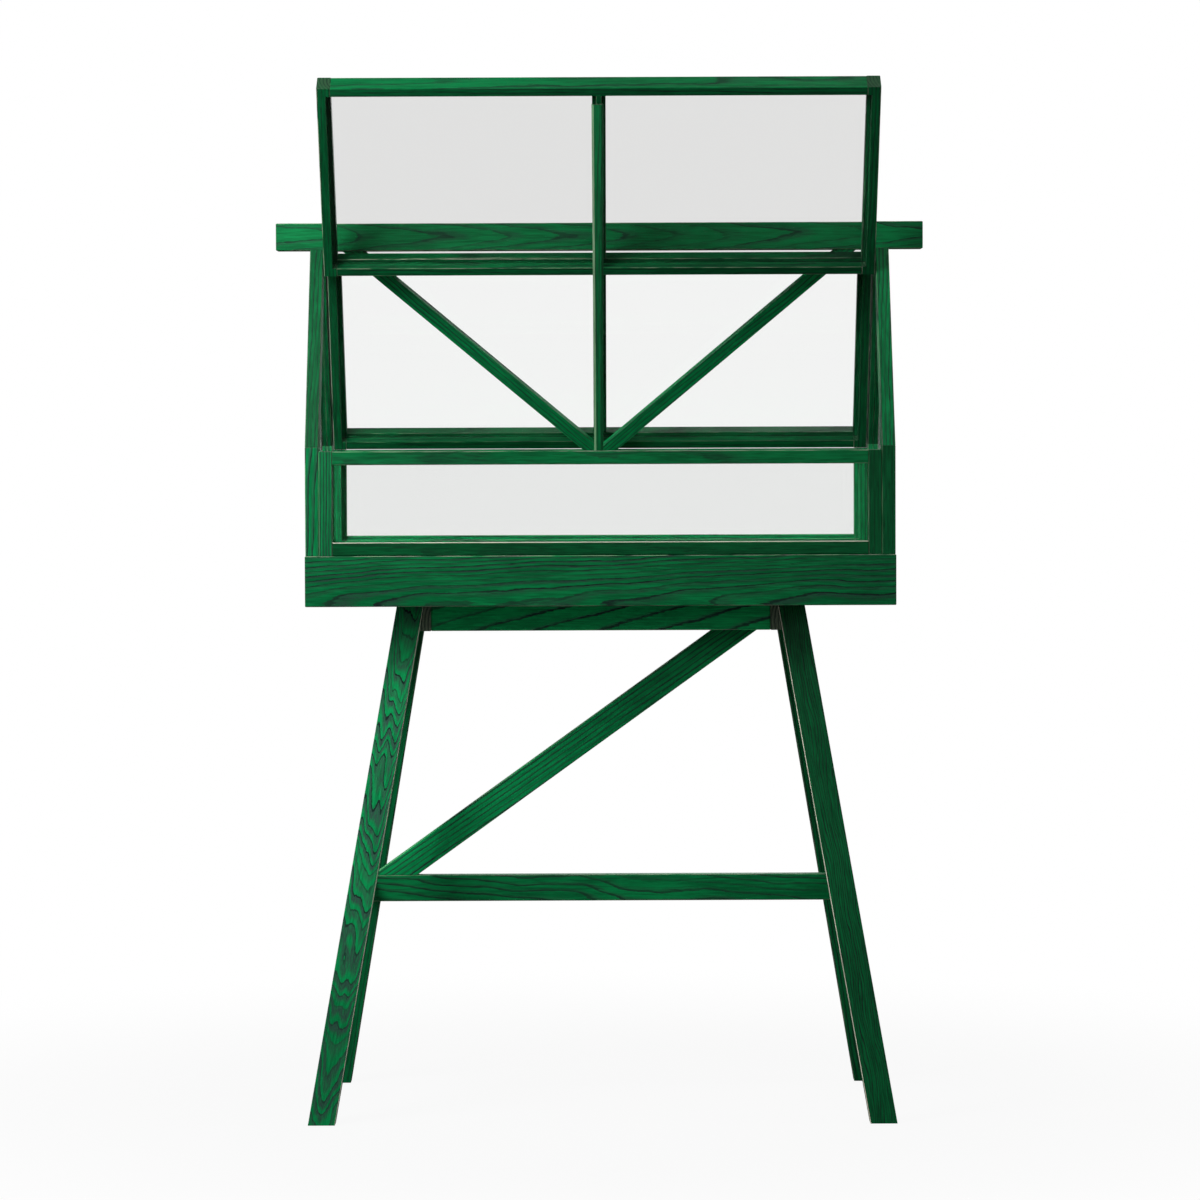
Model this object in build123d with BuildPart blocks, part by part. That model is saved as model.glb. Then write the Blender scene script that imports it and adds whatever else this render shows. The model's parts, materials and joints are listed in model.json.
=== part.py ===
from build123d import *
from math import asin, atan2, cos, degrees, hypot, radians, sin, tan
import os

os.makedirs("parts", exist_ok=True)

# A small greenhouse of stained ash and glass on a splayed trestle stand
# Millimetres, X to the right, Y to the back, Z up, origin on the floor under the middle

# Driving dimensions of the stand
stand_height = 764
leg_width = 40
leg_depth = 30
foot_span = 870
foot_depth = 450
leg_top_span = 608
leg_top_depth = 230
top_rail_height = 40
top_rail_thickness = 20
top_rail_spacing = 506
apron_height = 40
apron_thickness = 20
apron_setback = 4
cross_rail_height = 40
cross_rail_thickness = 20
stretcher_level = 308
stretcher_height = 40
stretcher_thickness = 20
brace_width = 40
brace_thickness = 20
brace_seat = 7

# Driving dimensions of the planting tray
tray_width = 872
tray_depth = 390
tray_height = 75
tray_board = 20
floor_thickness = 12

# Driving dimensions of the house
house_setback = 1
bar_width = 20
bar_depth = 37
wall_height = 160
window_height = 154
roof_rise = 296
apex_width = 84
ridge_length = 976
ridge_height = 41
ridge_thickness = 40
roof_brace_width = 20
roof_brace_thickness = 12
roof_brace_reach = 382
roof_brace_heel = 18
roof_brace_gap = 2

# Driving dimensions of the glazing
glass = 4
lip_depth = 20
rebate = 7
tongue_width = 8
pane_play = 1
groove_depth = 6
groove_play = 0.3

# Driving dimensions of the two lids and the prop
lid_side_gap = 2
lid_ridge_gap = 6
lid_rest_gap = 0.3
lid_lean = 31.3
pivot_inset = 9
pivot_depth = 9
pin_diameter = 6
pin_reach = 12
pin_collar = 12
collar_play = 0.3
pin_running_fit = 0.05
pin_seat_fit = 0.02
prop_top = 18
prop_foot = 13
prop_chamfer = 3
prop_offset = -2
prop_contact_gap = 0.3
prop_tip_inset = 25

# Driving dimensions of the fastenings and eased edges
arris = 1
screw_diameter = 5
screw_length = 42
screw_head = 9
screw_clearance = 0.1
tray_screw_spread = 80
tray_screw_bite = 8
tray_screw_sink = 6

# Levels and widths that follow from the driving dimensions
tray_top = stand_height + tray_height
wall_top = tray_top + wall_height
window_top = tray_top + window_height
ridge_under = wall_top + roof_rise
house_width = tray_width - 2 * house_setback
house_depth = tray_depth - 2 * house_setback
clear_width = house_width - 2 * bar_width
slope = atan2(roof_rise, (house_depth - apex_width) / 2)
bar_run = bar_depth / sin(slope)
top_rail_under = stand_height - top_rail_height
stretcher_top = stretcher_level + stretcher_height
lid_width = clear_width - 2 * lid_side_gap
lid_head = ridge_under - lid_ridge_gap
lid_length = (lid_head - bar_depth * cos(slope) - window_top - lid_rest_gap) / sin(slope)
lid_swing = degrees(slope) + 90 - lid_lean
sides = {"left": -1, "right": 1}
ends = {"front": -1, "rear": 1}


def save(piece, name):
    piece.part.label = name
    export_step(piece.part, f"parts/{name}.step")


def bar(plane, size_x, size_y, length):
    # A straight bar standing on a plane, with its long edges eased
    with BuildPart() as piece:
        with BuildSketch(plane):
            Rectangle(size_x, size_y)
        extrude(amount=length)
        chamfer(piece.edges().filter_by(Axis(plane.origin, plane.z_dir)), arris)
    return piece


def along_x(start, y, z):
    return Plane((start, y, z), x_dir=(0, 1, 0), z_dir=(1, 0, 0))


def along_y(x, start, z):
    return Plane((x, start, z), x_dir=(-1, 0, 0), z_dir=(0, 1, 0))


def along_z(x, y, start):
    return Plane((x, y, start), x_dir=(1, 0, 0), z_dir=(0, 0, 1))


def screw(plane, length, clearance=0.0):
    # A countersunk screw whose head is flush with the plane
    head_drop = (screw_head - screw_diameter) / 2
    with BuildPart() as piece:
        with BuildSketch(plane):
            Circle(screw_head / 2 + clearance)
        with BuildSketch(plane.offset(head_drop)):
            Circle(screw_diameter / 2 + clearance)
        loft()
        with BuildSketch(plane):
            Circle(screw_diameter / 2 + clearance)
        extrude(amount=length + clearance)
    return piece.part


# Fastenings of the stand, made first so that their holes can be cut
top_rail_inner = top_rail_spacing / 2
top_rail_outer = top_rail_inner + top_rail_thickness
leg_screw_y = leg_top_depth / 2 - leg_depth / 2
leg_screw_z = stand_height - top_rail_height / 2
leg_screw_planes = []
tray_screw_planes = []
for side in sides.values():
    for end in ends.values():
        spot = (side * top_rail_inner, end * leg_screw_y, leg_screw_z)
        leg_screw_planes.append(Plane(spot, x_dir=(0, 1, 0), z_dir=(side, 0, 0)))
        spot = (side * (top_rail_inner + top_rail_thickness / 2), end * tray_screw_spread / 2,
                top_rail_under + tray_screw_sink)
        tray_screw_planes.append(Plane(spot, x_dir=(1, 0, 0), z_dir=(0, 0, 1)))
tray_screw_length = top_rail_height - tray_screw_sink + tray_screw_bite

with BuildPart() as leg_screws:
    for plane in leg_screw_planes:
        add(screw(plane, screw_length))
save(leg_screws, "leg_screws")

with BuildPart() as tray_screws:
    for plane in tray_screw_planes:
        add(screw(plane, tray_screw_length))
save(tray_screws, "tray_screws")

with BuildPart() as screw_holes:
    for plane in leg_screw_planes:
        add(screw(plane, screw_length, screw_clearance))
    for plane in tray_screw_planes:
        add(screw(plane, tray_screw_length, screw_clearance))
        with BuildSketch(plane):
            Circle(screw_head / 2 + screw_clearance)
        extrude(amount=-tray_screw_sink)


# Legs, splayed both ways and housed over the ends of the top rails
for end_name, end in ends.items():
    for side_name, side in sides.items():
        foot_x = side * (foot_span - leg_width) / 2
        foot_y = end * (foot_depth - leg_depth) / 2
        top_x = side * (leg_top_span - leg_width) / 2
        top_y = end * (leg_top_depth - leg_depth) / 2
        with BuildPart() as leg:
            with BuildSketch(along_z(foot_x, foot_y, 0)):
                Rectangle(leg_width, leg_depth)
            with BuildSketch(along_z(top_x, top_y, stand_height)):
                Rectangle(leg_width, leg_depth)
            loft()
            long_edges = leg.edges().filter_by(lambda edge: edge.length > stand_height)
            chamfer(long_edges, arris)
            with Locations((side * top_rail_outer / 2, 0, stand_height - top_rail_height / 2)):
                Box(top_rail_outer, leg_top_depth, top_rail_height, mode=Mode.SUBTRACT)
            add(screw_holes.part, mode=Mode.SUBTRACT)
        save(leg, f"leg_{end_name}_{side_name}")


# Top frame of the stand
for side_name, side in sides.items():
    rail_x = side * (top_rail_inner + top_rail_outer) / 2
    rail_plane = along_y(rail_x, -leg_top_depth / 2, (top_rail_under + stand_height) / 2)
    with BuildPart() as top_rail:
        add(bar(rail_plane, top_rail_thickness, top_rail_height, leg_top_depth).part)
        add(screw_holes.part, mode=Mode.SUBTRACT)
    save(top_rail, f"top_rail_{side_name}")

apron_y = leg_top_depth / 2 - apron_setback - apron_thickness / 2
for end_name, end in ends.items():
    apron_plane = along_x(-top_rail_inner, end * apron_y, stand_height - apron_height / 2)
    apron = bar(apron_plane, apron_thickness, apron_height, top_rail_spacing)
    save(apron, f"apron_{end_name}")


# Cross rails between each pair of legs, cut to the splay of the legs
def leg_inner_y(level):
    splay = (foot_depth - leg_top_depth) / 2
    return foot_depth / 2 - leg_depth - splay * level / stand_height


def leg_centre_x(level):
    splay = (foot_span - leg_top_span) / 2
    return (foot_span - leg_width) / 2 - splay * level / stand_height


cross_rail_level = stretcher_level + stretcher_height / 2
cross_rail_low = cross_rail_level - cross_rail_height / 2
cross_rail_high = cross_rail_level + cross_rail_height / 2
cross_rail_x = leg_centre_x(cross_rail_level)
cross_rail_inner = cross_rail_x - cross_rail_thickness / 2
for side_name, side in sides.items():
    with BuildPart() as cross_rail:
        with BuildSketch(Plane.YZ.offset(side * cross_rail_x)):
            with BuildLine():
                Polyline(
                    (-leg_inner_y(cross_rail_low), cross_rail_low),
                    (leg_inner_y(cross_rail_low), cross_rail_low),
                    (leg_inner_y(cross_rail_high), cross_rail_high),
                    (-leg_inner_y(cross_rail_high), cross_rail_high),
                    close=True,
                )
            make_face()
        extrude(amount=cross_rail_thickness / 2, both=True)
        chamfer(cross_rail.edges().filter_by(Axis.Y), arris)
    save(cross_rail, f"cross_rail_{side_name}")

stretcher_plane = along_x(-cross_rail_inner, 0, stretcher_level + stretcher_height / 2)
stretcher = bar(stretcher_plane, stretcher_thickness, stretcher_height, 2 * cross_rail_inner)
save(stretcher, "stretcher")


# Diagonal brace from the corner over the stretcher up to the other top rail
brace_run = cross_rail_inner + top_rail_inner
brace_rise = top_rail_under + brace_seat - stretcher_top
brace_angle = atan2(brace_rise, brace_run) + asin(brace_width / hypot(brace_run, brace_rise))
brace_foot = brace_width / sin(brace_angle)
brace_head = brace_width / cos(brace_angle)
brace_over = brace_run * tan(brace_angle)
with BuildPart() as diagonal_brace:
    with BuildSketch(Plane.XZ):
        with BuildLine():
            Polyline(
                (-cross_rail_inner, stretcher_top),
                (brace_foot - cross_rail_inner, stretcher_top),
                (top_rail_inner, stretcher_top + brace_over - brace_head),
                (top_rail_inner, stretcher_top + brace_over),
                close=True,
            )
        make_face()
    extrude(amount=brace_thickness / 2, both=True)
    split(bisect_by=Plane.XY.offset(stand_height), keep=Keep.BOTTOM)
    long_edges = diagonal_brace.edges().filter_by(lambda edge: edge.length > brace_run / 2)
    chamfer(long_edges, arris)
save(diagonal_brace, "diagonal_brace")


# Planting tray: front and rear boards run over the ends of the side boards
tray_middle = stand_height + tray_height / 2
tray_inside = tray_depth - 2 * tray_board
for end_name, end in ends.items():
    board_plane = along_x(-tray_width / 2, end * (tray_depth - tray_board) / 2, tray_middle)
    with BuildPart() as tray_board_long:
        with BuildSketch(board_plane):
            Rectangle(tray_board, tray_height)
        extrude(amount=tray_width)
        chamfer(tray_board_long.edges(), arris)
    save(tray_board_long, f"tray_board_{end_name}")

for side_name, side in sides.items():
    board_plane = along_y(side * (tray_width - tray_board) / 2, -tray_inside / 2, tray_middle)
    tray_end = bar(board_plane, tray_board, tray_height, tray_inside)
    save(tray_end, f"tray_end_{side_name}")

with BuildPart() as tray_floor:
    with BuildSketch(Plane.XY.offset(stand_height)):
        Rectangle(tray_width - 2 * tray_board, tray_inside)
    extrude(amount=floor_thickness)
    add(screw_holes.part, mode=Mode.SUBTRACT)
save(tray_floor, "tray_floor")


# Gable panes, with an outline that reaches into the grooves of sill, posts and rafters
def gable_outline(margin):
    low = tray_top + bar_width - margin
    half = house_depth / 2 - bar_run + margin
    lift = margin / sin(slope)
    eaves_run = house_depth / 2 - bar_run + lift
    eaves = wall_top + (eaves_run - half) * tan(slope)
    head = ridge_under - pane_play
    head_half = eaves_run - (head - wall_top) / tan(slope)
    return [(-half, low), (half, low), (half, eaves), (head_half, head), (-head_half, head), (-half, eaves)]


def gable_plate(x, margin, thickness):
    with BuildPart() as plate:
        with BuildSketch(Plane.YZ.offset(x)):
            with BuildLine():
                Polyline(*gable_outline(margin), close=True)
            make_face()
        extrude(amount=thickness / 2, both=True)
    return plate


gable_x = (house_width - bar_width) / 2
gable_grooves = {}
for side_name, side in sides.items():
    pane = gable_plate(side * gable_x, groove_depth - groove_play, glass)
    save(pane, f"gable_pane_{side_name}")
    gable_grooves[side_name] = gable_plate(side * gable_x, groove_depth, glass + 2 * groove_play).part


# Corner posts, gable sills and rafters
post_y = (house_depth - bar_run) / 2
for end_name, end in ends.items():
    for side_name, side in sides.items():
        with BuildPart() as post:
            add(bar(along_z(side * gable_x, end * post_y, tray_top), bar_width, bar_run, wall_height).part)
            add(gable_grooves[side_name], mode=Mode.SUBTRACT)
        save(post, f"post_{end_name}_{side_name}")

sill_length = house_depth - 2 * bar_run
for side_name, side in sides.items():
    with BuildPart() as gable_sill:
        sill_plane = along_y(side * gable_x, -sill_length / 2, tray_top + bar_width / 2)
        add(bar(sill_plane, bar_width, bar_width, sill_length).part)
        add(gable_grooves[side_name], mode=Mode.SUBTRACT)
    save(gable_sill, f"gable_sill_{side_name}")


# A lid hangs on a roof plane: local x runs along the ridge, y from hinge to free edge, z inwards
def roof_point(end, down, inward):
    head_y = house_depth / 2 - (lid_head - wall_top) / tan(slope)
    y = head_y + down * cos(slope) - inward * sin(slope)
    z = lid_head - down * sin(slope) - inward * cos(slope)
    return (0, end * y, z)


def lid_plane(end, opening):
    hinge = Vector(*roof_point(end, pivot_inset, pivot_depth))
    tilt = slope - radians(opening)
    down = Vector(0, end * cos(tilt), -sin(tilt))
    inward = Vector(0, -end * sin(tilt), -cos(tilt))
    corner = hinge - down * pivot_inset - inward * pivot_depth
    return Plane(corner, x_dir=(-end, 0, 0), z_dir=inward)


def pivot_rod(end, side, radius, start, length):
    hinge = roof_point(end, pivot_inset, pivot_depth)
    spot = (side * start, hinge[1], hinge[2])
    with BuildPart() as rod:
        with BuildSketch(Plane(spot, x_dir=(0, 1, 0), z_dir=(side, 0, 0))):
            Circle(radius)
        extrude(amount=length)
    return rod


pin_radius = pin_diameter / 2
for end_name, end in ends.items():
    for side_name, side in sides.items():
        outer = house_depth / 2
        inner = house_depth / 2 - bar_run
        shift = roof_rise / tan(slope)
        with BuildPart() as rafter:
            with BuildSketch(Plane.YZ.offset(side * gable_x)):
                with BuildLine():
                    Polyline(
                        (end * outer, wall_top),
                        (end * (outer - shift), ridge_under),
                        (end * (inner - shift), ridge_under),
                        (end * inner, wall_top),
                        close=True,
                    )
                make_face()
            extrude(amount=bar_width / 2, both=True)
            long_edges = rafter.edges().filter_by(lambda edge: edge.length > roof_rise)
            chamfer(long_edges, arris)
            add(gable_grooves[side_name], mode=Mode.SUBTRACT)
            seat = pivot_rod(end, side, pin_radius + pin_seat_fit, clear_width / 2, bar_width)
            add(seat.part, mode=Mode.SUBTRACT)
        save(rafter, f"rafter_{end_name}_{side_name}")

    with BuildPart() as pivot_pins:
        for side in sides.values():
            pin_start = lid_width / 2 - pin_reach
            pin_length = pin_reach + lid_side_gap + bar_width - arris
            add(pivot_rod(end, side, pin_radius, pin_start, pin_length).part)
            collar_start = lid_width / 2 + collar_play
            collar_length = lid_side_gap - 2 * collar_play
            add(pivot_rod(end, side, pin_collar / 2, collar_start, collar_length).part)
    save(pivot_pins, f"pivot_pins_{end_name}")


# Glazed frames: stiles run through, rails fit between them, panes lie in a rebate on the inner side
def frame_side_name(plane, side):
    return "right" if side * plane.x_dir.X > 0 else "left"


def frame_block(plane, centre_x, centre_y, size_x, size_y, start=0.0, stop=bar_depth):
    with BuildPart() as block:
        with BuildSketch(plane.offset(start)):
            with Locations((centre_x, centre_y)):
                Rectangle(size_x, size_y)
        extrude(amount=stop - start)
    return block.part


def glazed_frame(name, plane, width, length, first_rail, last_rail, hinged):
    half = width / 2
    opening = half - bar_width
    glazed = length - 2 * bar_width + 2 * rebate
    for side in sides.values():
        with BuildPart() as stile:
            add(frame_block(plane, side * (half - bar_width / 2), length / 2, bar_width, length))
            chamfer(stile.edges().filter_by(Axis(plane.origin, plane.y_dir)), arris)
            rebate_x = side * (opening + rebate / 2)
            stile_rebate = frame_block(plane, rebate_x, length / 2, rebate, glazed, lip_depth)
            add(stile_rebate, mode=Mode.SUBTRACT)
            if hinged:
                bore_start = Vector(side * half, pivot_inset, pivot_depth)
                bore_plane = Plane(plane.from_local_coords(bore_start), x_dir=plane.y_dir,
                                   z_dir=plane.x_dir * -side)
                with BuildSketch(bore_plane):
                    Circle(pin_radius + pin_running_fit)
                extrude(amount=pin_reach + pin_running_fit, mode=Mode.SUBTRACT)
        save(stile, f"{name}_stile_{frame_side_name(plane, side)}")

    for rail_name, rail_y, inward in ((first_rail, bar_width / 2, 1), (last_rail, length - bar_width / 2, -1)):
        with BuildPart() as rail:
            add(frame_block(plane, 0, rail_y, 2 * opening, bar_width))
            chamfer(rail.edges().filter_by(Axis(plane.origin, plane.x_dir)), arris)
            rebate_y = rail_y + inward * (bar_width - rebate) / 2
            add(frame_block(plane, 0, rebate_y, 2 * opening, rebate, lip_depth), mode=Mode.SUBTRACT)
        save(rail, f"{name}_{rail_name}")

    pane_edge = opening + rebate - pane_play
    pane_length = glazed - 2 * pane_play
    if not hinged:
        with BuildPart() as pane:
            add(frame_block(plane, 0, length / 2, 2 * pane_edge, pane_length, lip_depth, lip_depth + glass))
        save(pane, f"{name}_pane")
        return

    with BuildPart() as mullion:
        add(frame_block(plane, 0, length / 2, bar_width, length - 2 * bar_width, 0, lip_depth))
        add(frame_block(plane, 0, length / 2, tongue_width, glazed, lip_depth))
    save(mullion, f"{name}_mullion")

    pane_start = tongue_width / 2 + pane_play
    with BuildPart() as panes:
        for side in sides.values():
            pane_x = side * (pane_start + pane_edge) / 2
            add(frame_block(plane, pane_x, length / 2, pane_edge - pane_start, pane_length,
                            lip_depth, lip_depth + glass))
    save(panes, f"{name}_panes")


for end_name, end in ends.items():
    window_plane = Plane((0, end * house_depth / 2, tray_top), x_dir=(end, 0, 0), z_dir=(0, -end, 0))
    window = f"{end_name}_window"
    glazed_frame(window, window_plane, clear_width, window_height, "bottom_rail", "top_rail", False)

front_lid_plane = lid_plane(-1, lid_swing)
glazed_frame("front_lid", front_lid_plane, lid_width, lid_length, "hinge_rail", "free_rail", True)
glazed_frame("rear_lid", lid_plane(1, 0), lid_width, lid_length, "hinge_rail", "free_rail", True)


# Ridge beam on the flat heads of the rafters
ridge_plane = along_x(-ridge_length / 2, 0, ridge_under + ridge_height / 2)
with BuildPart() as ridge_beam:
    with BuildSketch(ridge_plane):
        Rectangle(ridge_thickness, ridge_height)
    extrude(amount=ridge_length)
    chamfer(ridge_beam.edges(), arris)
save(ridge_beam, "ridge_beam")


# Roof braces inside the rear lid, from the middle of the rear window up to the ridge
brace_offset = bar_depth + roof_brace_gap
brace_base_y = house_depth / 2 + (wall_top - window_top) / tan(slope) - brace_offset / sin(slope)
roof_brace_low = -roof_brace_heel / sin(slope)
roof_brace_high = (ridge_under - window_top) / sin(slope)
roof_brace_angle = atan2(roof_brace_high - roof_brace_low, roof_brace_reach)
roof_brace_tail = 2 * roof_brace_thickness
for side_name, side in sides.items():
    brace_plane = Plane((0, brace_base_y, window_top), x_dir=(1, 0, 0), z_dir=(0, -sin(slope), -cos(slope)))
    over_x = roof_brace_reach + roof_brace_tail * cos(roof_brace_angle)
    over_y = roof_brace_high + roof_brace_tail * sin(roof_brace_angle)
    with BuildPart() as roof_brace:
        with BuildSketch(brace_plane):
            with BuildLine():
                Polyline(
                    (0, roof_brace_low),
                    (side * over_x, over_y),
                    (side * (over_x - roof_brace_width / sin(roof_brace_angle)), over_y),
                    (0, roof_brace_low + roof_brace_width / cos(roof_brace_angle)),
                    close=True,
                )
            make_face()
        extrude(amount=roof_brace_thickness)
        split(bisect_by=Plane.XY.offset(ridge_under), keep=Keep.BOTTOM)
        rail_middle = house_depth / 2 - bar_depth / 2
        with Locations((0, rail_middle, window_top - bar_width / 2)):
            Box(clear_width, bar_depth, bar_width, mode=Mode.SUBTRACT)
    save(roof_brace, f"roof_brace_{side_name}")


# Loose prop: stands on the front window and bears against the inner face of the open lid
prop_foot_point = Vector(prop_offset, -(house_depth - bar_depth) / 2, window_top)
tip_reach = lid_length - prop_tip_inset
prop_head_point = front_lid_plane.from_local_coords(Vector(prop_offset, tip_reach - prop_top / 2, bar_depth))
prop_axis = prop_head_point - prop_foot_point
prop_plane = Plane(prop_foot_point, x_dir=(1, 0, 0), z_dir=prop_axis)
prop_overrun = 3 * prop_top
with BuildPart() as prop_stick:
    for level, width in ((-prop_overrun, prop_foot), (prop_axis.length + prop_overrun, prop_top)):
        with BuildSketch(prop_plane.offset(level)) as section:
            Rectangle(width, width)
            chamfer(section.vertices(), prop_chamfer)
    loft()
    split(bisect_by=Plane.XY.offset(window_top), keep=Keep.TOP)
    split(bisect_by=front_lid_plane.offset(bar_depth + prop_contact_gap), keep=Keep.TOP)
    tip_spot = front_lid_plane.from_local_coords(Vector(0, tip_reach, 0))
    split(bisect_by=Plane(tip_spot, x_dir=(1, 0, 0), z_dir=front_lid_plane.y_dir), keep=Keep.BOTTOM)
save(prop_stick, "prop_stick")

hinge_point = roof_point(-1, pivot_inset, pivot_depth)
print(f"lid length {lid_length:.2f}, swing {lid_swing:.2f} degrees, slope {degrees(slope):.2f} degrees")
print(f"front pivot at y {hinge_point[1]:.3f}, z {hinge_point[2]:.3f}")
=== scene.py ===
import json
import math
import bpy
import numpy as np
from mathutils import Matrix, Vector

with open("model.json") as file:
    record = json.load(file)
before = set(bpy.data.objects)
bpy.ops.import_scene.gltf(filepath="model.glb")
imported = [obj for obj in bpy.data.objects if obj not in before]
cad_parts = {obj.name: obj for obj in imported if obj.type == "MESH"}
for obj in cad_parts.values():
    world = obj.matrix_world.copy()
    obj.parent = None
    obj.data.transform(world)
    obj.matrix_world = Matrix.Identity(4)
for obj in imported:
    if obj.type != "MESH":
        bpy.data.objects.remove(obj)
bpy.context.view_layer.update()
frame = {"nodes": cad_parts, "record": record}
nodes = frame["nodes"]
scene = bpy.context.scene
scene.view_settings.view_transform = "Standard"
print("frame loaded with", len(nodes), "nodes")


# camera, a little above the front window and pitched down slightly
cameraView = {
    "place": (0.0, -6.722, 1.045),
    "pitch": 2.386,  # degrees below the horizon
    "turn": 0.009,  # degrees to the left
    "roll": -0.22,  # degrees about the line of sight
    "focalPixels": 4432.0,
    "imagePixels": 1200.0,
    "sensor": 36.0,  # millimetres
    "reach": 900.0,
}


def placeCamera(view):
    data = bpy.data.cameras.new("photoCamera")
    data.sensor_width = view["sensor"]
    data.lens = view["sensor"] * view["focalPixels"] / view["imagePixels"]
    data.clip_end = view["reach"]
    camera = bpy.data.objects.new("photoCamera", data)
    camera.location = view["place"]
    turn = Matrix.Rotation(math.radians(view["turn"]), 3, "Z")
    pitch = Matrix.Rotation(math.radians(90.0 - view["pitch"]), 3, "X")
    roll = Matrix.Rotation(math.radians(view["roll"]), 3, "Z")
    camera.rotation_euler = (turn @ pitch @ roll).to_euler()
    scene.collection.objects.link(camera)
    scene.camera = camera


placeCamera(cameraView)
print("camera placed")


def tint(red, green, blue):
    # screen colour, 0 to 255, to the linear values that the sockets take
    levels = np.array([red, green, blue]) / 255.0
    linear = np.where(levels <= 0.04045, levels / 12.92, ((levels + 0.055) / 1.055) ** 2.4)
    return (*(float(x) for x in linear), 1.0)


def grey(level):
    return (level, level, level, 1.0)


# one wrapped socket: arithmetic on it adds Math nodes, and node() adds any other node
class Signal:
    def __init__(self, tree, socket=None):
        self.tree = tree
        self.socket = socket

    def node(self, kind, settings, inputs, output=0):
        made = self.tree.nodes.new(kind)
        for name, value in settings.items():
            if name == "stops":
                self.fillRamp(made.color_ramp, value)
            else:
                setattr(made, name, value)
        for name, value in inputs.items():
            if isinstance(value, Signal):
                self.tree.links.new(value.socket, made.inputs[name])
            else:
                made.inputs[name].default_value = value
        return Signal(self.tree, made.outputs[output] if made.outputs else None)

    def fillRamp(self, ramp, stops):
        while len(ramp.elements) < len(stops):
            ramp.elements.new(0.5)
        for element, (place, level) in zip(ramp.elements, stops):
            element.position = place
            element.color = grey(level)

    def calc(self, operation, first, second=0.0):
        return self.node("ShaderNodeMath", {"operation": operation}, {0: first, 1: second})

    def __add__(self, other):
        return self.calc("ADD", self, other)

    __radd__ = __add__

    def __mul__(self, other):
        return self.calc("MULTIPLY", self, other)

    __rmul__ = __mul__

    def __sub__(self, other):
        return self.calc("SUBTRACT", self, other)

    def __rsub__(self, other):
        return self.calc("SUBTRACT", other, self)

    def __truediv__(self, other):
        return self.calc("DIVIDE", self, other)

    def __pow__(self, other):
        return self.calc("POWER", self, other)

    def __abs__(self):
        return self.calc("ABSOLUTE", self)

    def __mod__(self, other):
        return self.calc("FLOORED_MODULO", self, other)


def objectPlace(maker):
    return maker.node("ShaderNodeTexCoord", {}, {}, "Object")


def axisOf(vector, axis):
    return vector.node("ShaderNodeSeparateXYZ", {}, {"Vector": vector}, axis)


def cloud(place, scale, detail, roughness=0.5):
    return place.node("ShaderNodeTexNoise", {"noise_dimensions": "3D"},
                      {"Vector": place, "Scale": scale, "Detail": detail, "Roughness": roughness})


def between(value, low, high, start=0.0):
    # smooth rise from start at low to 1 at high
    return value.node("ShaderNodeMapRange", {"interpolation_type": "SMOOTHSTEP"},
                      {"Value": value, "From Min": low, "From Max": high, "To Min": start})


def lift(value, low, high=1.0):
    # 0 to 1 becomes low to high
    return value * (high - low) + low


def blend(maker, factor, first, second, mode="MIX"):
    # sockets 6 and 7 and output 2 are the Mix node's colours
    return maker.node("ShaderNodeMix", {"data_type": "RGBA", "blend_type": mode},
                      {0: factor, 6: first, 7: second}, 2)


def newMaterial(name):
    material = bpy.data.materials.new(name)
    material.use_nodes = True
    tree = material.node_tree
    tree.nodes.clear()
    return material, Signal(tree)


def showSurface(maker, shader):
    maker.node("ShaderNodeOutputMaterial", {}, {"Surface": shader})


# stained ash, cut as a solid: growth rings round a heart line, pores along the member
ashFinish = {
    "bright": tint(6, 136, 74),
    "deep": tint(0, 98, 52),
    "band": tint(42, 74, 62),  # open early wood, where the stain looks grey
    "line": tint(18, 38, 34),  # sharp start of each ring
    "endGrain": tint(108, 110, 98),
    # pale arrises: worn wood and a painted highlight
    "arris": tint(232, 227, 208),
    "roughness": 0.46,
    "poreRoughness": 0.22,  # added in the open pores
    "specular": 0.08,
    "bumpDepth": 0.00035,
    "bumpStrength": 0.5,
}

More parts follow.
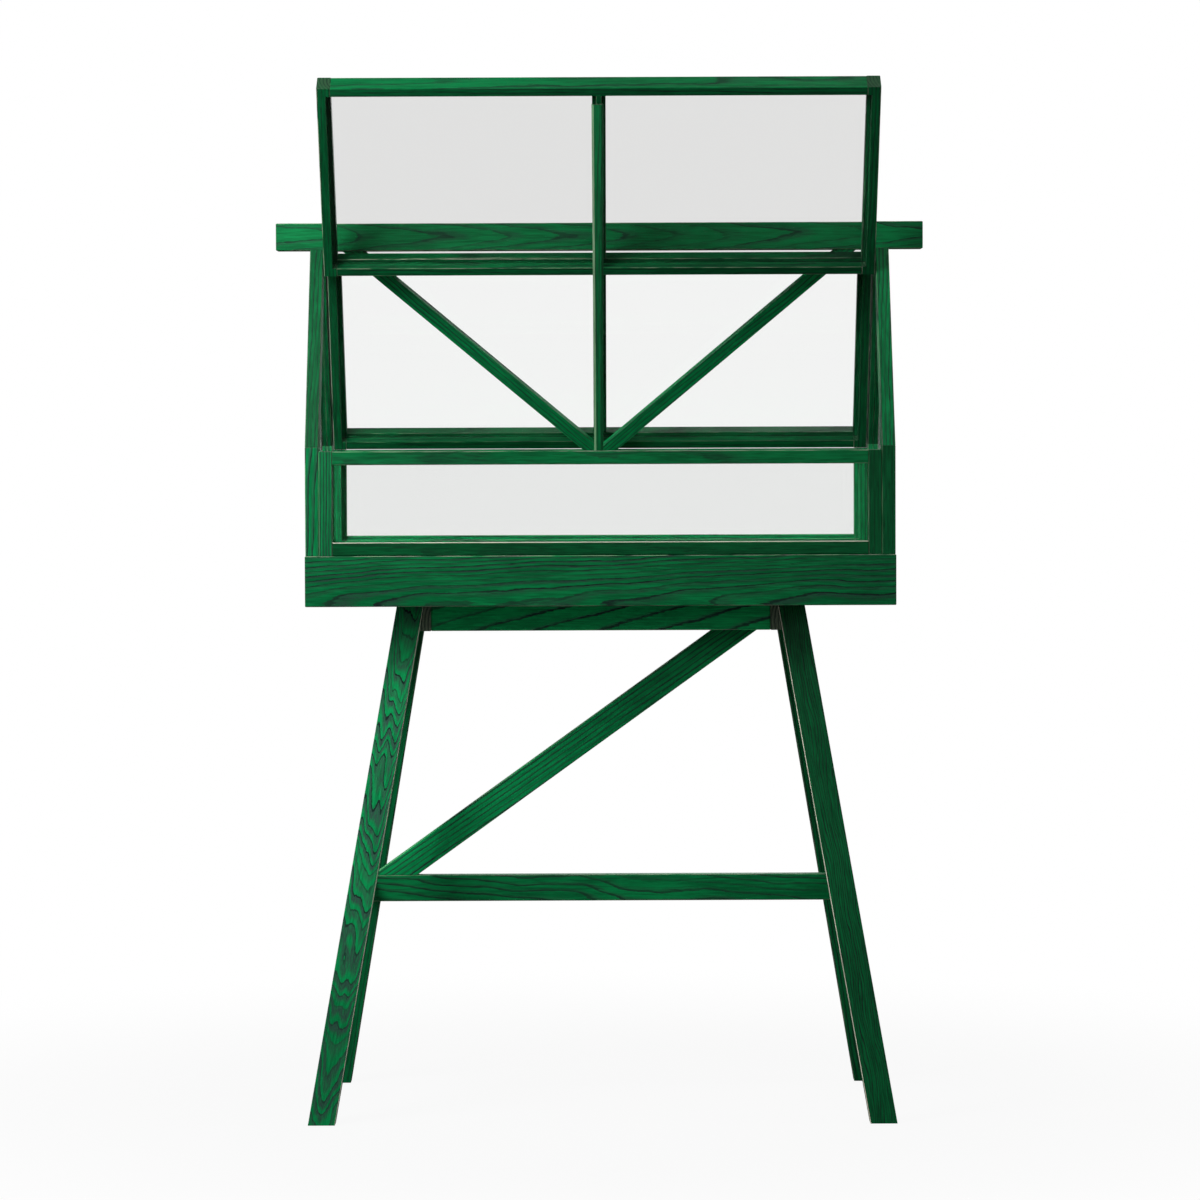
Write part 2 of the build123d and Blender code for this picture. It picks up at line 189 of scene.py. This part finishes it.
# the figure that all members share
ashFigure = {
    "drift": (1.37, 0.71, 2.13),  # step between the noises of two members
    "swayDetail": 2.0,
    "waveReach": 6.0,
    "flameReach": 0.26,  # jitter of the ring lines, in ring widths
    "fluteWidth": 0.019,
    "fluteSway": 0.02,
    "lineEnd": 1.5,  # where the dark line has gone, in its own widths
    "bandHold": (0.7, 0.85),  # place, in widths of the band, and level that it holds there
    "bandEnd": 1.25,
    "nextRing": 0.98,  # share of a ring at which the next one sets in
    "yearPace": 0.45,
    "faintYear": 0.4,  # strength of the faintest ring
    "faintPatch": 0.7,
    "bandStipple": (0.5, 0.95),  # band's strength between the fibres and on them
    "lineStipple": 0.8,
    "poreSpread": 0.3,  # share of the pores outside the band
    "poreShade": 0.38,
    "mottleShare": 0.45,  # of the ground's variation, the rest is fibres
    "endLines": 0.75,
    "evenPaleness": 0.7,  # least paleness along an arris that is pale on one side
    "lineDepth": 0.7,
    "fibreDepth": 0.2,
    # scales along, out of and across the member, detail, and roughness where it isn't 0.5
    "noise": {
        "flame": ((60.0, 420.0, 420.0), 2.0),
        "patches": ((6.0, 30.0, 30.0), 2.0),
        "stipple": ((90.0, 900.0, 900.0), 1.0),
        "pores": ((50.0, 700.0, 700.0), 1.0),
        "fibres": ((24.0, 400.0, 400.0), 2.0, 0.6),
        "mottle": ((4.0, 22.0, 22.0), 3.0),
        "wear": ((30.0, 260.0, 260.0), 2.0),
    },
    # limits between which each mask rises from nothing to full
    "masks": {
        "years": (0.35, 0.6),
        "patches": (0.3, 0.6),
        "stipple": (0.35, 0.65),
        "pores": (0.55, 0.7),
        "ground": (0.35, 0.65),
        "wear": (0.3, 0.62),
        "sawnEnd": (0.75, 0.95),
        "arris": (0.25, 0.6),
        "wideArris": (0.15, 0.4),
        "wornAndLitSide": (0.1, 0.3),
        "outerSide": (0.4, 0.9),
        "upperEnd": (-0.24, 0.04),  # metres from the member's middle
    },
}

# how a member is cut, unless ashCuts says otherwise
ashPlain = {
    "heart": (0.03, 0.055),  # heart line: how far behind the face, and across it
    "ring": 0.0052,  # ring width, negative where the rings run the other way
    "lean": 0.012,  # slope of the heart line along the member
    "wave": 0.0022,  # waviness of the rings
    "swirl": (5.0, 14.0, 14.0),  # scales of that waviness
    "flute": 0.0,  # depth of the scallops across the face
    "line": 0.16,  # share of a ring that the dark line takes
    "band": 0.40,  # share that the grey band takes
    "lines": 0.8,  # strength of both
    # the member's own stain tone, with painted light and shade for how lit it is
    "toneAndPaintedLight": 1.0,
    "outerFaceShade": 1.0,  # painted shade on the side that faces out
    "lowTone": 1.0,  # further colour factor towards the lower end
    "calm": 0.0,  # how far lines and scallops weaken towards the lower end
    "ends": 0.85,  # how far the sawn ends take the end-grain colour
    "rubAndHighlight": 0.2,  # how far the arrises are rubbed pale and given a painted highlight
    "rubAndHighlightSide": 0.0,  # side of the face whose arris is rubbed pale and given a painted highlight, 0 for both
    "ease": 0.0007,  # width of the eased arrises
}
# the lids: fewer lines, sawn ends that keep more of the face colour, and painted shade that darkens all
# their members
lidCutAndShade = {"toneAndPaintedLight": 0.38, "lines": 0.6, "ends": 0.35}
# toneAndPaintedLight holds painted light and shade besides each member's own tone: brighter for the front
# left leg, the apron and the brace under the tray, darker for the leg, stile and post on the right, the
# rear legs and rafters, and the lids
ashCuts = {
    "tray_board_front": {
        "heart": (0.034, 0.034), "ring": -0.0056, "lean": -0.040, "wave": 0.0030,
        "line": 0.11, "band": 0.5, "lines": 1.25, "toneAndPaintedLight": 0.74, "ease": 0.0014},
    "tray_board_rear": {
        "heart": (0.030, -0.020), "ring": 0.0066, "lean": 0.030, "wave": 0.0036, "lines": 1.0},
    "ridge_beam": {
        "heart": (0.014, -0.002), "ring": 0.0085, "lean": 0.090, "wave": 0.0040,
        "line": 0.08, "band": 0.35, "lines": 0.75, "toneAndPaintedLight": 0.66},
    "apron_front": {
        "heart": (0.030, 0.060), "ring": 0.0240, "lean": -0.260, "wave": 0.0040,
        "line": 0.10, "band": 0.2, "lines": 1.0, "toneAndPaintedLight": 2.0},
    "leg_front_left": {
        "heart": (0.024, 0.002), "ring": 0.0056, "lean": -0.200, "wave": 0.0066,
        "swirl": (6.0, 24.0, 24.0), "flute": 0.0016, "line": 0.09, "band": 0.6, "lines": 1.7,
        "toneAndPaintedLight": 1.4, "lowTone": 0.78, "calm": 0.6, "rubAndHighlight": 1.0, "rubAndHighlightSide": 1.0, "ease": 0.0014},
    "leg_front_right": {
        "heart": (0.030, 0.050), "ring": 0.0030, "lean": 0.012, "wave": 0.0030,
        "swirl": (9.0, 40.0, 40.0), "band": 0.45, "lines": 1.0,
        "toneAndPaintedLight": 0.58, "rubAndHighlight": 1.0, "rubAndHighlightSide": -1.0, "ease": 0.0014},
    "leg_rear_left": {"toneAndPaintedLight": 0.68},
    "leg_rear_right": {"toneAndPaintedLight": 0.72},
    "diagonal_brace": {
        "heart": (0.020, 0.075), "ring": 0.0070, "lean": 0.004, "wave": 0.0010,
        "line": 0.17, "band": 0.3, "lines": 1.0, "toneAndPaintedLight": 1.55},
    "stretcher": {
        "heart": (0.060, 0.040), "ring": 0.0070, "lean": 0.060, "wave": 0.0050, "toneAndPaintedLight": 0.9},
    "front_window_stile_left": {
        "heart": (0.010, 0.060), "ring": 0.0042, "lean": 0.004, "wave": 0.0010,
        "band": 0.55, "lines": 1.2, "toneAndPaintedLight": 0.84, "rubAndHighlight": 0.1},
    "post_front_left": {
        "heart": (0.020, 0.030), "ring": 0.0075, "lean": 0.050, "wave": 0.0030,
        "band": 0.5, "lines": 1.1, "rubAndHighlight": 0.1},
    "front_window_top_rail": {"heart": (0.070, 0.010), "ring": 0.0060, "lines": 0.35, "toneAndPaintedLight": 0.62},
    "front_window_bottom_rail": {
        "heart": (0.070, 0.010), "ring": 0.0060, "lines": 0.35, "toneAndPaintedLight": 0.37, "rubAndHighlight": 0.7, "rubAndHighlightSide": -1.0},
    "front_window_stile_right": {"lines": 0.35, "toneAndPaintedLight": 0.43, "rubAndHighlight": 0.08},
    "post_front_right": {"lines": 0.4, "toneAndPaintedLight": 0.43, "rubAndHighlight": 0.08},
    "rafter_front_left": {"toneAndPaintedLight": 0.5, "rubAndHighlight": 0.1},
    "rafter_front_right": {"toneAndPaintedLight": 0.75, "rubAndHighlight": 0.1},
    "rafter_rear_left": {"toneAndPaintedLight": 0.45, "rubAndHighlight": 0.1},
    "rafter_rear_right": {"toneAndPaintedLight": 0.45, "rubAndHighlight": 0.1},
    "prop_stick": {"lines": 0.5, "toneAndPaintedLight": 0.5, "rubAndHighlight": 0.13, "rubAndHighlightSide": -1.0},
    "front_lid_hinge_rail": {**lidCutAndShade, "rubAndHighlight": 0.5},
    "front_lid_free_rail": {**lidCutAndShade, "toneAndPaintedLight": 0.68, "outerFaceShade": 0.52, "rubAndHighlight": 0.0},
}
for piece in ("stile_left", "stile_right", "hinge_rail", "free_rail", "mullion"):
    ashCuts.setdefault("front_lid_" + piece, lidCutAndShade)
    ashCuts["rear_lid_" + piece] = lidCutAndShade

# which faces of a member show its direction and its front
memberFaces = {
    "lean": 0.3,  # most that a side may tilt along the member
    "smallest": 0.05,  # least area, as a share of the largest face
    "upward": 0.2,  # what facing up counts beside facing forwards
}


def memberAxes(node):
    # along: the direction that the sides share; out: normal of the side that faces forwards most
    mesh = node.data
    normals = np.empty(len(mesh.polygons) * 3)
    areas = np.empty(len(mesh.polygons))
    points = np.empty(len(mesh.vertices) * 3)
    mesh.polygons.foreach_get("normal", normals)
    mesh.polygons.foreach_get("area", areas)
    mesh.vertices.foreach_get("co", points)
    normals = normals.reshape(-1, 3)
    along = np.linalg.eigh((normals * areas[:, None]).T @ normals)[1][:, 0]
    along = along * np.sign(along[np.argmax(np.abs(along))])
    sides = np.abs(normals @ along) < memberFaces["lean"]
    sides &= areas > memberFaces["smallest"] * areas.max()
    forwards = np.where(sides, -normals[:, 1] + memberFaces["upward"] * normals[:, 2], -np.inf)
    out = normals[np.argmax(forwards)]
    out = out - along * (out @ along)
    out = out / np.linalg.norm(out)
    across = np.cross(along, out)
    local = points.reshape(-1, 3) @ np.array([along, out, across]).T
    middle = (local.min(0) + local.max(0)) / 2.0
    middle[1] = local[:, 1].max()
    return Matrix([along, out, across]), Vector(middle)


def stainedAsh(name, node, cut, seed):
    material, maker = newMaterial("ash_" + name)
    turn, middle = memberAxes(node)
    angles = turn.to_euler()
    # local place: x along the member, y out of its face, z across it
    local = maker.node("ShaderNodeMapping", {"vector_type": "POINT"},
                       {"Vector": objectPlace(maker), "Location": -middle, "Rotation": angles})
    normal = maker.node("ShaderNodeTexCoord", {}, {}, "Normal")
    facing = maker.node("ShaderNodeMapping", {"vector_type": "VECTOR"},
                        {"Vector": normal, "Rotation": angles})
    drift = [seed * step for step in ashFigure["drift"]]

    def noise(scales, detail, roughness=0.5):
        stretched = maker.node("ShaderNodeMapping", {"vector_type": "POINT"},
                               {"Vector": local, "Location": drift, "Scale": scales})
        return cloud(stretched, 1.0, detail, roughness)

    def grain(kind):
        return noise(*ashFigure["noise"][kind])

    def mask(kind, value):
        return between(value, *ashFigure["masks"][kind])

    def lowEnd():
        return 1.0 - mask("upperEnd", along)

    # rings: distance from the heart line, leant, scalloped and swayed, in ring widths
    along = axisOf(local, "X")
    depth = axisOf(local, "Y") + cut["heart"][0]
    side = axisOf(local, "Z") - cut["heart"][1]
    calmed = 1.0 - lowEnd() * cut["calm"] if cut["calm"] else 1.0
    sway = noise(cut["swirl"], ashFigure["swayDetail"]) - 0.5
    flame = grain("flame") - 0.5
    radius = (depth * depth + side * side) ** 0.5
    turns = (side + sway * ashFigure["fluteSway"]) * (2.0 * math.pi / ashFigure["fluteWidth"])
    flute = maker.calc("COSINE", turns) * cut["flute"] * calmed
    reach = radius + along * cut["lean"] + flute + sway * (cut["wave"] * ashFigure["waveReach"])
    rings = reach / cut["ring"] + flame * ashFigure["flameReach"]
    share = rings % 1.0

    def ringPart(*stops):
        closing = [(ashFigure["nextRing"], 0.0), (1.0, 1.0)]
        return maker.node("ShaderNodeValToRGB", {"stops": [(0.0, 1.0), *stops, *closing]}, {"Fac": share})

    holdPlace, holdLevel = ashFigure["bandHold"]
    line = ringPart((cut["line"], 1.0), (cut["line"] * ashFigure["lineEnd"], 0.0))
    band = ringPart((cut["band"] * holdPlace, holdLevel), (cut["band"] * ashFigure["bandEnd"], 0.0))
    # rings differ in strength from year to year, and fade in and out along the board
    years = maker.node("ShaderNodeTexNoise", {"noise_dimensions": "1D"},
                       {"W": rings * ashFigure["yearPace"] + seed, "Scale": 1.0, "Detail": 1.0})
    yearly = lift(mask("years", years), ashFigure["faintYear"])
    patchy = lift(mask("patches", grain("patches")), ashFigure["faintPatch"])
    strength = yearly * patchy * cut["lines"]
    stipple = mask("stipple", grain("stipple"))
    bands = band * strength * lift(stipple, *ashFigure["bandStipple"])
    darkLines = line * strength * lift(stipple, ashFigure["lineStipple"]) * calmed
    pores = mask("pores", grain("pores")) * lift(band, ashFigure["poreSpread"])
    fibres = grain("fibres")
    mottle = grain("mottle")

    mottled = mottle * ashFigure["mottleShare"] + fibres * (1.0 - ashFigure["mottleShare"])
    ground = blend(maker, mask("ground", mottled), ashFinish["deep"], ashFinish["bright"])
    banded = blend(maker, bands, ground, ashFinish["band"])
    lined = blend(maker, darkLines, banded, ashFinish["line"])
    pored = blend(maker, pores * ashFigure["poreShade"], lined, ashFinish["line"])
    # sawn ends drink more stain, and the arrises are rubbed pale with a painted highlight along them
    endMask = mask("sawnEnd", abs(axisOf(facing, "X")))
    endTone = blend(maker, band * ashFigure["endLines"], ashFinish["endGrain"], ashFinish["line"])
    ended = blend(maker, endMask * cut["ends"], pored, endTone)
    edge = maker.calc("MINIMUM", abs(axisOf(facing, "Y")), abs(axisOf(facing, "Z")))
    worn = mask("wear", grain("wear"))
    # pale arrises, partly wear and partly painted highlight, on one side of the face only or on both
    if cut["rubAndHighlightSide"]:
        wornAndLitSide = mask("wornAndLitSide", axisOf(facing, "Z") * cut["rubAndHighlightSide"])
        wearAndHighlight = mask("wideArris", edge) * wornAndLitSide * lift(worn, ashFigure["evenPaleness"])
    else:
        wearAndHighlight = mask("arris", edge) * worn
    # the member's stain tone, with painted light and shade
    tonedAndShaded = blend(maker, 1.0, ended, grey(cut["toneAndPaintedLight"]), "MULTIPLY")
    # painted shade on the side that faces out, here the lid rail's underside
    if cut["outerFaceShade"] != 1.0:
        outerSide = mask("outerSide", axisOf(facing, "Y"))
        tonedAndShaded = blend(maker, outerSide, tonedAndShaded, grey(cut["outerFaceShade"]), "MULTIPLY")
    if cut["lowTone"] != 1.0:
        tonedAndShaded = blend(maker, lowEnd(), tonedAndShaded, grey(cut["lowTone"]), "MULTIPLY")
    colour = blend(maker, wearAndHighlight * cut["rubAndHighlight"], tonedAndShaded, ashFinish["arris"])

    openGrain = maker.calc("MAXIMUM", pores, darkLines * ashFigure["lineDepth"])
    height = 1.0 - openGrain * (1.0 - ashFigure["fibreDepth"]) - fibres * ashFigure["fibreDepth"]
    relief = maker.node("ShaderNodeBump", {},
                        {"Height": height, "Strength": ashFinish["bumpStrength"],
                         "Distance": ashFinish["bumpDepth"]})
    shader = maker.node("ShaderNodeBsdfPrincipled", {},
                        {"Base Color": colour,
                         "Roughness": openGrain * ashFinish["poreRoughness"] + ashFinish["roughness"],
                         "Normal": relief, "Specular IOR Level": ashFinish["specular"]})
    showSurface(maker, shader)
    return material


# clear float glass with a faint smear on its faces; the open lid's panes are the dustiest
glassFinish = {
    "clean": (0.95, 0.955, 0.95, 1.0),
    "dusty": (0.80, 0.80, 0.795, 1.0),
    "ior": 1.45,
    "roughness": 0.004,
    "smear": 0.015,  # added roughness
    "smearScale": 9.0,
    "smearDetail": 4.0,
    "shade": 0.06,  # share of the lamps' light that each face holds back
}


def floatGlass(name, colour):
    material, maker = newMaterial(name)
    wipe = cloud(objectPlace(maker), glassFinish["smearScale"], glassFinish["smearDetail"])
    shadow = maker.node("ShaderNodeLightPath", {}, {}, "Is Shadow Ray")
    shader = maker.node("ShaderNodeBsdfPrincipled", {},
                        {"Base Color": colour, "IOR": glassFinish["ior"], "Transmission Weight": 1.0,
                         "Alpha": 1.0 - shadow * (1.0 - glassFinish["shade"]),
                         "Roughness": wipe * glassFinish["smear"] + glassFinish["roughness"]})
    showSurface(maker, shader)
    return material


# plated steel of the pins and screws, with a little bloom
steelFinish = {
    "colour": (0.56, 0.57, 0.58, 1.0),
    "dull": (0.36, 0.37, 0.38, 1.0),
    "roughness": 0.28,
    "bloom": 0.2,  # added roughness
    "bloomScale": 240.0,
    "bloomDetail": 4.0,
}


def platedSteel():
    material, maker = newMaterial("plated_steel")
    bloom = cloud(objectPlace(maker), steelFinish["bloomScale"], steelFinish["bloomDetail"])
    colour = blend(maker, bloom, steelFinish["colour"], steelFinish["dull"])
    shader = maker.node("ShaderNodeBsdfPrincipled", {},
                        {"Base Color": colour, "Metallic": 1.0,
                         "Roughness": bloom * steelFinish["bloom"] + steelFinish["roughness"]})
    showSurface(maker, shader)
    return material


# eased arrises on the wood, and panes a hair clear of their rebates, so that light gets between
easing = {"merge": 0.00002, "angle": 28.0, "segments": 2, "paneClear": 0.00012}


def weld(node):
    modifier = node.modifiers.new("weld", "WELD")
    modifier.merge_threshold = easing["merge"]


def easeEdges(node, width):
    weld(node)
    bevel = node.modifiers.new("ease", "BEVEL")
    bevel.width = width
    bevel.segments = easing["segments"]
    bevel.limit_method = "ANGLE"
    bevel.angle_limit = math.radians(easing["angle"])


def easePane(node):
    weld(node)
    shrink = node.modifiers.new("clear", "DISPLACE")
    shrink.mid_level = 0.0
    shrink.strength = -easing["paneClear"]


def dress(node, material):
    node.data.materials.clear()
    node.data.materials.append(material)


slots = {row["node"]: row["material_slot"] for row in frame["record"]["subparts"]}
cleanGlass = floatGlass("clean_glass", glassFinish["clean"])
dustyGlass = floatGlass("dusty_glass", glassFinish["dusty"])
steelMaterial = platedSteel()
for seed, name in enumerate(sorted(nodes)):
    if slots[name] == "clear_glass":
        dress(nodes[name], dustyGlass if name == "front_lid_panes" else cleanGlass)
        easePane(nodes[name])
    elif slots[name] == "steel":
        dress(nodes[name], steelMaterial)
    else:
        cut = {**ashPlain, **ashCuts.get(name, {})}
        dress(nodes[name], stainedAsh(name, nodes[name], cut, seed))
        easeEdges(nodes[name], cut["ease"])
print("finishes on", len(nodes), "nodes")


# pale floor that fades into the backdrop, and soft studio light from the upper left
studio = {
    "white": (1.0, 1.0, 1.0, 1.0),
    "floorSize": 800.0,
    "floorColour": (0.3, 0.3, 0.3, 1.0),
    "floorGlow": 0.93,  # share of plain white near the object, all white past the fade
    "floorFade": (0.5, 1.7),
    "floorSheen": 0.03,  # how bright the floor is in reflections
    "ambient": 0.05,
    "frontSheen": 0.06,  # how bright the dark side of the room is in reflections
    "backSheen": (0.55, 0.95),  # from the dark side to the white one, 1 is straight behind
    "lamps": {
        "key": {"place": (-1.15, -0.95, 1.85), "aim": (0.0, 0.0, 0.4), "size": (0.7, 0.7), "watts": 33.0},
        "low": {"place": (-1.4, -1.6, 1.6), "aim": (-0.3, 0.0, 0.1), "size": (0.6, 0.6), "watts": 7.0},
        "front": {"place": (0.5, -2.6, 1.5), "aim": (0.0, 0.0, 1.0), "size": (1.0, 1.0), "watts": 6.0},
        "right": {"place": (1.6, -0.22, 1.8), "aim": (0.0, -0.1, 1.2), "size": (0.6, 0.8), "watts": 8.0},
        "top": {"place": (0.7, -0.45, 2.6), "aim": (0.3, -0.1, 1.4), "size": (0.5, 0.5), "watts": 5.0},
        "back": {"place": (0.9, 3.0, 2.6), "aim": (0.0, 0.0, 0.9), "size": (2.0, 2.0), "watts": 70.0},
    },
}


def lightPath(maker):
    # straight: seen through glass with no bounce before; mirrored: seen in a reflection
    outputs = ("Is Camera Ray", "Is Transmission Ray", "Is Glossy Ray", "Diffuse Depth", "Glossy Depth")
    camera, through, glossy, diffuseDepth, glossyDepth = [
        maker.node("ShaderNodeLightPath", {}, {}, name) for name in outputs]
    straight = through * maker.calc("LESS_THAN", diffuseDepth + glossyDepth, 0.5)
    return camera, straight, maker.calc("MAXIMUM", glossy, through) - straight


def makeFloor():
    half = studio["floorSize"] / 2.0
    mesh = bpy.data.meshes.new("floor")
    corners = [(-half, -half, 0.0), (half, -half, 0.0), (half, half, 0.0), (-half, half, 0.0)]
    mesh.from_pydata(corners, [], [(0, 1, 2, 3)])
    floor = bpy.data.objects.new("floor", mesh)
    scene.collection.objects.link(floor)
    material, maker = newMaterial("pale_floor")
    camera, straight, mirrored = lightPath(maker)
    direct = maker.calc("MAXIMUM", camera, straight)
    distance = maker.node("ShaderNodeVectorMath", {"operation": "LENGTH"}, {0: objectPlace(maker)}, "Value")
    fade = between(distance, *studio["floorFade"], studio["floorGlow"])
    matt = maker.node("ShaderNodeBsdfDiffuse", {}, {"Color": studio["floorColour"]})
    glow = maker.node("ShaderNodeEmission", {},
                      {"Color": studio["white"], "Strength": direct + mirrored * studio["floorSheen"]})
    share = maker.calc("MAXIMUM", direct * fade, mirrored)
    showSurface(maker, maker.node("ShaderNodeMixShader", {}, {0: share, 1: matt, 2: glow}))
    mesh.materials.append(material)


def makeWorld():
    world = bpy.data.worlds.new("studio")
    scene.world = world
    world.use_nodes = True
    world.node_tree.nodes.clear()
    maker = Signal(world.node_tree)
    camera, straight, mirrored = lightPath(maker)
    direction = maker.node("ShaderNodeTexCoord", {}, {}, "Generated")
    sheen = between(axisOf(direction, "Y"), *studio["backSheen"], studio["frontSheen"])
    seen = camera + straight + mirrored * sheen
    unseen = 1.0 - camera - straight - mirrored
    light = maker.node("ShaderNodeBackground", {},
                       {"Color": studio["white"], "Strength": seen + unseen * studio["ambient"]})
    maker.node("ShaderNodeOutputWorld", {}, {"Surface": light})


def makeLamps():
    for name, lamp in studio["lamps"].items():
        data = bpy.data.lights.new(name, "AREA")
        data.shape = "RECTANGLE"
        data.size, data.size_y = lamp["size"]
        data.energy = lamp["watts"]
        light = bpy.data.objects.new(name, data)
        light.location = lamp["place"]
        beam = Vector(lamp["aim"]) - Vector(lamp["place"])
        light.rotation_euler = beam.to_track_quat("-Z", "Y").to_euler()
        light.visible_camera = False
        light.visible_transmission = False
        scene.collection.objects.link(light)


makeFloor()
makeWorld()
makeLamps()
print("studio set")
